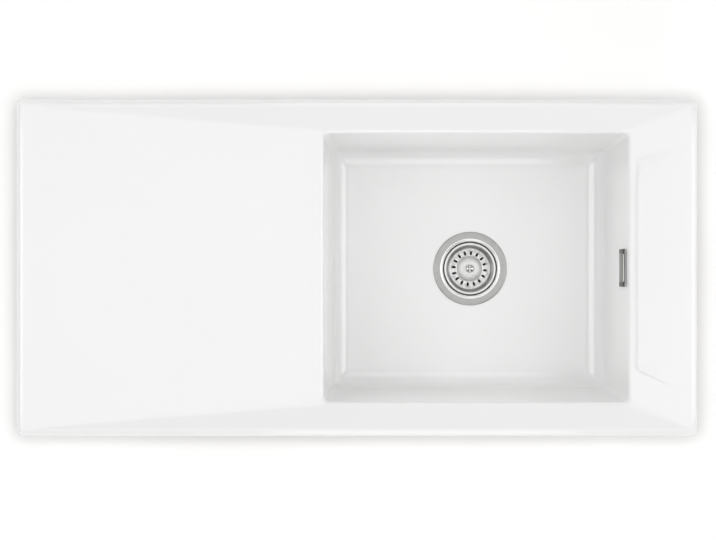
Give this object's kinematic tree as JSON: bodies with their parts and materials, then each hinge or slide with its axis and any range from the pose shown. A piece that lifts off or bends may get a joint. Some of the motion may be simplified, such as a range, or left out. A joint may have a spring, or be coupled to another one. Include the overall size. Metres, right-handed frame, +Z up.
{
  "type": "kitchen sink",
  "caption": "Inset white ceramic kitchen sink with one square bowl, a plain sloping drainer, a raised tap ledge, a lift-out basket strainer waste and a wall overflow.",
  "frame": {"origin": "middle of the outline, on the worktop's surface, where the underside of the rim's foam strip lies", "axes": "+X to the right along the sink's length, +Y to the rear, +Z up"},
  "size_m": [1, 0.495, 0.282],
  "materials": {
    "glaze": "gloss",
    "foam": "matte closed-cell foam",
    "stainless": "brushed",
    "turned_steel": "bright turned",
    "rubber": "matte",
    "brass": "turned",
    "dark_plastic": "satin",
    "white_plastic": "satin moulded",
    "grey_plastic": "satin moulded"
  },
  "bodies": {
    "sink": {"sink_body": "glaze", "rim_seal": "foam", "waste_flange": "stainless", "overflow_cover": "stainless", "fixing_screw": "turned_steel", "overflow_screw": "turned_steel", "flange_seal": "rubber", "body_seal": "rubber", "insert_seal": "rubber", "overflow_seal": "rubber", "upper_pipe_cone": "rubber", "lower_pipe_cone": "rubber", "fixing_nut": "brass", "overflow_nut": "brass", "overflow_insert": "dark_plastic", "waste_body": "white_plastic", "outlet_tail": "white_plastic", "overflow_housing": "white_plastic", "overflow_pipe": "white_plastic", "upper_pipe_nut": "grey_plastic", "lower_pipe_nut": "grey_plastic"},
    "clip": {"stem_clip": "turned_steel"},
    "basket": {"basket_cup": "stainless", "basket_knob": "turned_steel", "basket_stem": "turned_steel", "basket_seal": "rubber"}
  },
  "joints": [
    {"name": "basket_lift", "type": "slide", "parent": "sink", "child": "clip", "axis": [0, 0, 1], "range_m": [0, 0.25]},
    {"name": "basket_turn", "type": "hinge", "parent": "clip", "child": "basket", "pos_m": [0.176, 0, -0.2], "axis": [0, 0, 1], "continuous": true}
  ]
}
